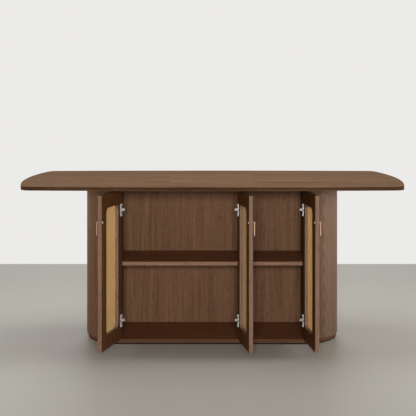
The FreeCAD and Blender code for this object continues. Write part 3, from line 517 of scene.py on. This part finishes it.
class TABLE_OT_metal(bpy.types.Operator):
    """Plate the hinges and brush the pulls"""

    bl_idname = "table.metal"
    bl_label = "Hinges and Pulls"

    def execute(self, context):
        metal = context.scene.table_metal
        # Bright plate on pressed steel, a duller cast skin, and brass brushed along the hanging pull
        nickel = plated_metal("nickel_plate", metal.nickel, 0.4, grey(4 * MM), 0.5)
        zinc = plated_metal("die_cast_zinc", metal.zinc, 0.42, grey(3 * MM), 0.7)
        brass = plated_metal("brushed_pale_brass", metal.brass, 0.30, (0.6 * MM, 0.6 * MM, 12 * MM))
        for node in ("top_screws", "bottom_screws", "shelf_pins"):
            paint(node, nickel)
        for door in DOORS:
            for name in ("hinge_cups", "hinge_pins"):
                paint(f"{name}_{door}", nickel)
            for name in ("hinge_arms", "hinge_plates"):
                paint(f"{name}_{door}", zinc)
            for name in ("pull_post", "pull_pin", "pull_drop"):
                paint(f"{name}_{door}", brass)
        return {"FINISHED"}


class TABLE_OT_screws(bpy.types.Operator):
    """Set cross-recessed screws in the hinges and pulls, and adjusting screws on the hinge arms"""

    bl_idname = "table.screws"
    bl_label = "Screws"

    def screw(self, head, height, shank, reach):
        """A screw along Z, with its head's underside at the origin: domed head, cross recess, pointed end."""
        bpy.ops.object.select_all(action="DESELECT")
        bpy.ops.mesh.primitive_cylinder_add(vertices=20, radius=head, depth=height, location=(0, 0, height / 2))
        screw = bpy.context.object
        settle(screw, Matrix.Identity(4))
        pick(screw, lambda face: face.normal.z > 0.9)
        bpy.ops.mesh.bevel(offset=0.5 * height, segments=3, affect="EDGES")
        pick(screw, lambda face: face.normal.z < -0.9)
        bpy.ops.mesh.inset(thickness=head - shank)
        # The straight part of the shank, then its point
        for share in (0.7, 0.3):
            bpy.ops.mesh.extrude_region_move(TRANSFORM_OT_translate={"value": (0, 0, -share * reach)})
        bpy.ops.transform.resize(value=(0.3, 0.3, 1))
        # Two crossed blades cut the recess, half as deep as they are tall
        for turn in (0, math.pi / 2):
            bpy.ops.object.mode_set(mode="OBJECT")
            bpy.ops.object.select_all(action="DESELECT")
            bpy.ops.mesh.primitive_cube_add(size=1, location=(0, 0, height), rotation=(0, 0, turn))
            blade = bpy.context.object
            blade.scale = (1.15 * head, 0.22 * head, 1.2 * height)
            recess = screw.modifiers.new("recess", "BOOLEAN")
            recess.operation = "DIFFERENCE"
            recess.object = blade
            apply_modifiers(screw)
            bpy.data.objects.remove(blade)
        only(screw)
        bpy.ops.object.shade_smooth_by_angle(angle=math.radians(40))
        return screw

    def fitted(self, points):
        """A screw in the place of a plain one, whose head is the wide end of its longest side."""
        low, high = corners_of(points)
        middle = (low + high) / 2
        size = high - low
        axis = max(range(3), key=lambda i: size[i])
        others = [i for i in range(3) if i != axis]
        widths = [math.hypot(*(p[i] - middle[i] for i in others)) for p in points]
        head = max(widths)
        rim = [p[axis] for p, width in zip(points, widths) if width > 0.95 * head]
        up = 1 if sum(rim) / len(rim) > middle[axis] else -1
        under, crown = (min(rim), max(rim)) if up > 0 else (max(rim), min(rim))
        tip = low[axis] if up > 0 else high[axis]
        shank = max(w for p, w in zip(points, widths) if abs(p[axis] - tip) < 0.01 * MM)
        outward = Vector([up if i == axis else 0 for i in range(3)])
        middle[axis] = under
        screw = self.screw(head, abs(crown - under), shank, abs(under - tip))
        turn = Vector((0, 0, 1)).rotation_difference(outward).to_matrix().to_4x4()
        settle(screw, Matrix.Translation(middle) @ turn)
        return screw

    def adjusters(self):
        """Two flush adjusting screws on the open face of each hinge arm."""
        head, shank, sunk, proud, reach = 2.6 * MM, 1.2 * MM, 1.2 * MM, 0.5 * MM, 1.5 * MM
        from_end = (9 * MM, 27 * MM)
        model = self.screw(head, proud + sunk, shank, reach)
        screws = []
        for door in DOORS:
            outward = -1 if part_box(f"hinge_arms_{door}")[0][0] > 0 else 1
            for points in solid_points(f"hinge_arms_{door}", Matrix.Identity(4)):
                low, high = corners_of(points)
                tail = [p.x for p in points if high.y - p.y < MM]
                face = max(tail) if outward > 0 else min(tail)
                for inward in from_end:
                    screw = copied(model)
                    seat = Matrix.Translation((face - outward * sunk, high.y - inward, (low.z + high.z) / 2))
                    settle(screw, seat @ Matrix.Rotation(outward * math.pi / 2, 4, "Y"))
                    screws.append(screw)
        bpy.data.objects.remove(model)
        return joined(screws, "hinge_adjusting_screws")

    def execute(self, context):
        nickel = bpy.data.materials["nickel_plate"]
        sets = [("plate_screws", "table", Matrix.Identity(4))]
        for door in DOORS:
            sets += [(f"{name}_{door}", f"{door}_door", door_turn(door)) for name in ("cup_screws", "pull_screw")]
        pieces = []
        for node, body, turn in sets:
            screws = [self.fitted(points) for points in solid_points(node, turn.inverted())]
            piece = joined(screws, f"{node}_cross_recess")
            settle(piece, turn)
            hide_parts(node)
            pieces.append((piece, body))
        pieces.append((self.adjusters(), "table"))
        for piece, body in pieces:
            piece.data.materials.clear()
            piece.data.materials.append(nickel)
            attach(piece, body)
        return {"FINISHED"}


class TABLE_OT_cane(bpy.types.Operator):
    """Weave a cane panel into each door's window"""

    bl_idname = "table.cane"
    bl_label = "Cane Panels"

    def strand(self, cane):
        """One flat strand along Y: a crowned strip that runs over one crossing and under the next."""
        bpy.ops.object.select_all(action="DESELECT")
        bpy.ops.mesh.primitive_grid_add(x_subdivisions=2, y_subdivisions=4, size=1)
        strip = bpy.context.object
        strip.scale = (cane.strand_width, 2 * cane.pitch, 1)
        settle(strip, Matrix.Identity(4))
        play, crown = 0.1 * MM, 0.12 * MM
        reach = cane.strand_thickness / 2 + play
        rows = sorted({round(vertex.co.y, 6) for vertex in strip.data.vertices})
        for row in rows:
            self.lift(strip, lambda co: abs(co.y - row) < 1e-5, reach * math.cos(math.pi * row / cane.pitch))
        self.lift(strip, lambda co: abs(co.x) < 1e-5, crown)
        return strip

    def lift(self, strip, chosen, height):
        """Raises the chosen vertices of a strip."""
        only(strip)
        bpy.ops.object.mode_set(mode="EDIT")
        bpy.ops.mesh.select_mode(type="VERT")
        bpy.ops.mesh.select_all(action="DESELECT")
        bpy.ops.object.mode_set(mode="OBJECT")
        for vertex in strip.data.vertices:
            vertex.select = chosen(vertex.co)
        bpy.ops.object.mode_set(mode="EDIT")
        bpy.ops.transform.translate(value=(0, 0, height))
        bpy.ops.object.mode_set(mode="OBJECT")

    def cell(self, cane):
        """The repeat of the weave: two strands each way, each over one and under the next."""
        model = self.strand(cane)
        quarter = Matrix.Rotation(math.pi / 2, 4, "Z")
        half_way = Matrix.Translation((0, cane.pitch, 0))
        aside = Matrix.Translation((cane.pitch, 0, 0))
        strands = []
        for place in (Matrix.Identity(4), aside @ half_way, quarter @ half_way, half_way @ quarter):
            strand = copied(model)
            settle(strand, place)
            strands.append(strand)
        bpy.data.objects.remove(model)
        return joined(strands, "cane_cell")

    def trim(self, sheet, half_width, half_height, corner):
        """Cuts a flat sheet to a rectangle with clipped corners."""
        only(sheet)
        bpy.ops.object.mode_set(mode="EDIT")
        clip = (half_width + half_height - corner) / math.sqrt(2)
        cuts = [((sign * half_width, 0, 0), (sign, 0, 0)) for sign in (-1, 1)]
        cuts += [((0, sign * half_height, 0), (0, sign, 0)) for sign in (-1, 1)]
        for x in (-1, 1):
            for y in (-1, 1):
                outward = Vector((x, y, 0)).normalized()
                cuts.append((outward * clip, outward))
        for place, outward in cuts:
            bpy.ops.mesh.select_all(action="SELECT")
            bpy.ops.mesh.bisect(plane_co=place, plane_no=outward, clear_outer=True)
        bpy.ops.object.mode_set(mode="OBJECT")

    def weave(self, cane, width, height, corner):
        """A flat woven sheet about the origin, in the XY plane."""
        cell = self.cell(cane)
        step = 2 * cane.pitch
        counts = [math.ceil(extent / step) + 1 for extent in (width, height)]
        for axis, count in enumerate(counts):
            array = cell.modifiers.new("repeat", "ARRAY")
            array.use_relative_offset = False
            array.use_constant_offset = True
            array.constant_offset_displace = [step if i == axis else 0 for i in range(3)]
            array.count = count
            array.use_merge_vertices = True
            array.merge_threshold = 0.01 * MM
        apply_modifiers(cell)
        settle(cell, Matrix.Translation([-step * (count - 1) / 2 for count in counts] + [0]))
        self.trim(cell, width / 2, height / 2, corner)
        thick = cell.modifiers.new("thickness", "SOLIDIFY")
        thick.thickness = cane.strand_thickness
        thick.offset = 0
        apply_modifiers(cell)
        return cell

    def execute(self, context):
        cane = context.scene.table_cane
        bark = cane_bark()
        corner, edge = 24 * MM, 0.5 * MM
        for door in DOORS:
            low, high = shut_box(f"cane_panel_{door}", door)
            panel = self.weave(cane, high.x - low.x - 2 * edge, high.z - low.z - 2 * edge, corner)
            upright = Matrix.Translation((low + high) / 2) @ Matrix.Rotation(math.pi / 2, 4, "X")
            settle(panel, door_turn(door) @ upright)
            only(panel)
            bpy.ops.object.shade_smooth_by_angle(angle=math.radians(50))
            panel.name = f"woven_cane_{door}"
            panel.data.materials.clear()
            panel.data.materials.append(bark)
            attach(panel, f"{door}_door")
            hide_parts(f"cane_panel_{door}")
        return {"FINISHED"}


# Each softbox's name, place, target, width and height, watts, beam in degrees, and whether gloss mirrors it.
# The narrow side beams rise over the floor, so the ends darken a little towards it.
SOFTBOXES = (
    ("front_softbox", (0, -5.8, 1.48), (0, 0, 0.45), (1.2, 0.55), 290, 180, True),
    ("right_softbox", (5.2, 0.2, 1.7), (0.5, 0, 1.2), (2.2, 2.0), 27.5, 36, False),
    ("left_softbox", (-5.2, 0.2, 1.7), (-0.5, 0, 1.2), (2.2, 2.0), 15.5, 36, False),
    ("top_softbox", (0, 0.2, 3.4), (0, 0, 0), (3.5, 2.4), 52, 180, True),
    ("back_softbox", (0, 5.6, 2.0), (0, 0, 0.45), (1.6, 1.0), 170, 180, False),
)
FLOOR_WIDTH, FLOOR_FRONT, FLOOR_ROUGHNESS = 9.2, -5.6, 0.42


class TABLE_OT_stage(bpy.types.Operator):
    """Set up the floor, the lights and the camera"""

    bl_idname = "table.stage"
    bl_label = "Studio"

    def lamp(self, name, place, target, size, power, spread, mirrored):
        """A soft lamp that the camera doesn't see."""
        light = bpy.data.lights.new(name, "AREA")
        light.shape = "RECTANGLE"
        light.size, light.size_y = size
        light.energy = power
        light.spread = math.radians(spread)
        lamp = bpy.data.objects.new(name, light)
        bpy.context.collection.objects.link(lamp)
        lamp.location = place
        lamp.visible_camera = False
        lamp.visible_glossy = mirrored
        lamp.rotation_euler = (Vector(target) - Vector(place)).to_track_quat("-Z", "Y").to_euler()

    def background(self, studio):
        """Even light on the object, and a plain pale background for the camera and for reflections."""
        world = bpy.data.worlds.new("studio")
        bpy.context.scene.world = world
        world.use_nodes = True
        tree = world.node_tree
        tree.nodes.clear()
        rays = add_node(tree, "ShaderNodeLightPath")
        seen = add_node(tree, "ShaderNodeMath", {"operation": "MAXIMUM"}, {
            0: rays.outputs["Is Camera Ray"], 1: rays.outputs["Is Glossy Ray"]})
        even = add_node(tree, "ShaderNodeBackground", {"Color": (1, 1, 1, 1), "Strength": studio.ambient})
        pale = add_node(tree, "ShaderNodeBackground", {"Color": (*studio.backdrop, 1), "Strength": 1.0})
        mixed = add_node(tree, "ShaderNodeMixShader", links={
            0: seen.outputs[0], 1: even.outputs[0], 2: pale.outputs[0]})
        add_node(tree, "ShaderNodeOutputWorld", links={"Surface": mixed.outputs[0]})

    def execute(self, context):
        studio = context.scene.table_studio
        bpy.ops.object.select_all(action="DESELECT")
        bpy.ops.mesh.primitive_plane_add(size=1, location=(0, (FLOOR_FRONT + studio.floor_back) / 2, 0))
        floor = bpy.context.object
        floor.name = "studio_floor"
        floor.scale = (FLOOR_WIDTH, studio.floor_back - FLOOR_FRONT, 1)
        bpy.ops.object.transform_apply(location=True, scale=True)
        floor.data.materials.append(plain_stage("studio_floor", studio.floor, FLOOR_ROUGHNESS))
        for softbox in SOFTBOXES:
            self.lamp(*softbox)
        self.background(studio)

        camera_data = bpy.data.cameras.new("photo_view")
        camera_data.sensor_width = 36
        camera_data.lens = studio.lens
        camera_data.shift_y = studio.camera_shift
        camera = bpy.data.objects.new("photo_view", camera_data)
        context.collection.objects.link(camera)
        camera.location = studio.camera_place
        camera.rotation_euler = (math.pi / 2, 0, 0)
        context.scene.camera = camera
        context.scene.view_settings.view_transform = "Standard"
        return {"FINISHED"}


class TABLE_PT_finish(bpy.types.Panel):
    """Steps that finish the table, in order"""

    bl_label = "Kitchen Table"
    bl_space_type = "VIEW_3D"
    bl_region_type = "UI"
    bl_category = "Table"

    def draw(self, context):
        for operator in OPERATORS:
            self.layout.operator(operator.bl_idname)
        for group in GROUPS:
            settings = getattr(context.scene, group)
            for name in GROUPS[group].__annotations__:
                self.layout.prop(settings, name)


GROUPS = {
    "table_walnut": WalnutFinish,
    "table_cane": CaneFinish,
    "table_metal": MetalFinish,
    "table_studio": StudioSetup,
}
OPERATORS = (TABLE_OT_veneer, TABLE_OT_metal, TABLE_OT_screws, TABLE_OT_cane, TABLE_OT_stage)
CLASSES = (*GROUPS.values(), *OPERATORS, TABLE_PT_finish)


def register():
    for item in CLASSES:
        bpy.utils.register_class(item)
    for name, group in GROUPS.items():
        setattr(bpy.types.Scene, name, bpy.props.PointerProperty(type=group))


def unregister():
    for name in GROUPS:
        delattr(bpy.types.Scene, name)
    for item in reversed(CLASSES):
        bpy.utils.unregister_class(item)


def main():
    register()
    bpy.ops.table.veneer()
    bpy.ops.table.metal()
    bpy.ops.table.screws()
    bpy.ops.table.cane()
    bpy.ops.table.stage()


if __name__ == "__main__":
    main()
